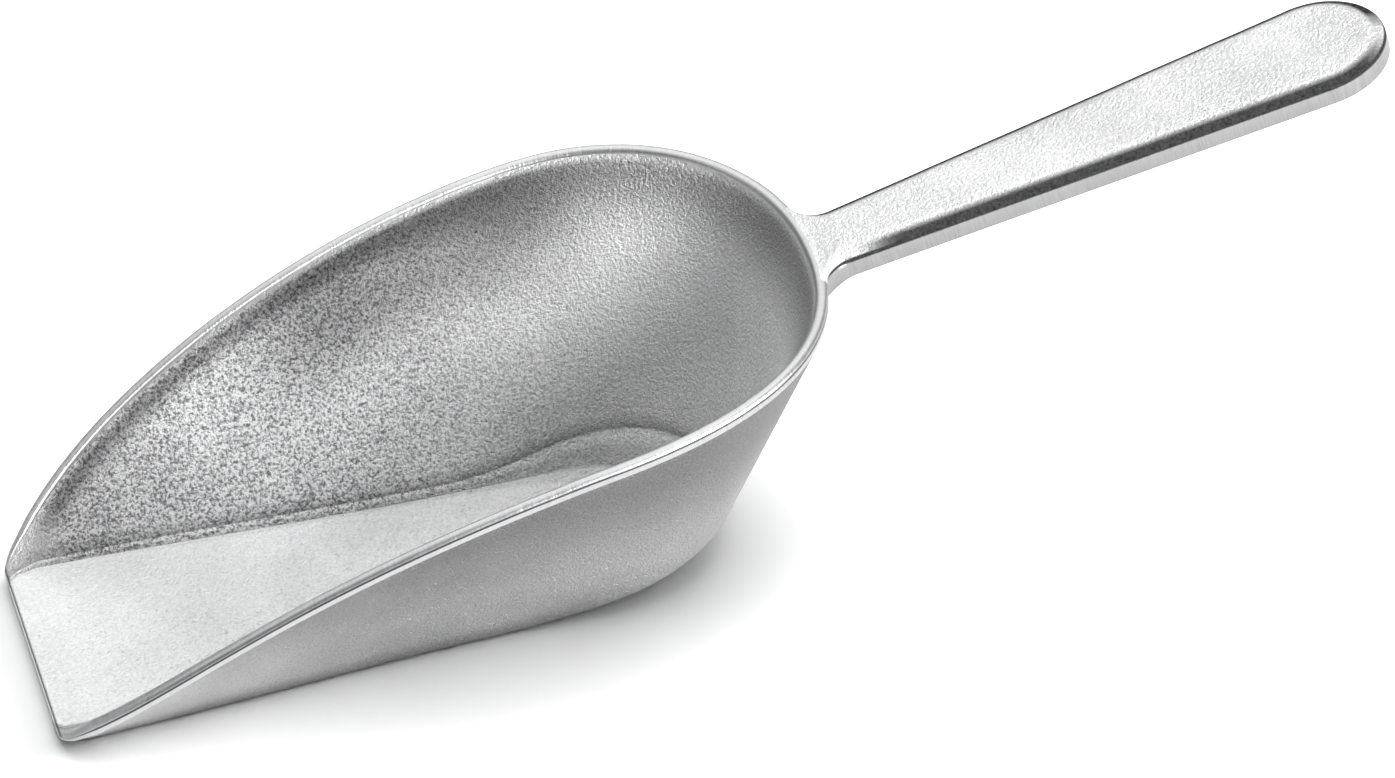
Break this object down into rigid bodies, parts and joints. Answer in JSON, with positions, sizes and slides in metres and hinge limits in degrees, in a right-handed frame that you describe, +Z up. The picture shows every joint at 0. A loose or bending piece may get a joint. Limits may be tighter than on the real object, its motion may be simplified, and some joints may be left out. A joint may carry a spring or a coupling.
{
  "type": "ice scoop",
  "caption": "Flat-bottomed cast aluminium scoop with a flared open bowl, a rounded heel and a rising flat handle with a round end.",
  "frame": {"origin": "centre of the overall box, on the table under the flat base", "axes": "+X from the lip to the handle's end, +Y to the left when looking along +X, +Z up"},
  "size_m": [0.26, 0.1006, 0.0784],
  "materials": {
    "cast_aluminium": "tumbled cast skin, fine stipple",
    "ground_aluminium": "ground edge with fine striations"
  },
  "bodies": {
    "root": {"lip": "cast_aluminium", "floor": "cast_aluminium", "wall_left": "cast_aluminium", "wall_right": "cast_aluminium", "wall_back": "cast_aluminium", "rim_left": "ground_aluminium", "rim_right": "ground_aluminium", "rim_back": "ground_aluminium", "neck": "cast_aluminium", "handle_base": "ground_aluminium", "handle_top": "cast_aluminium"}
  },
  "joints": []
}
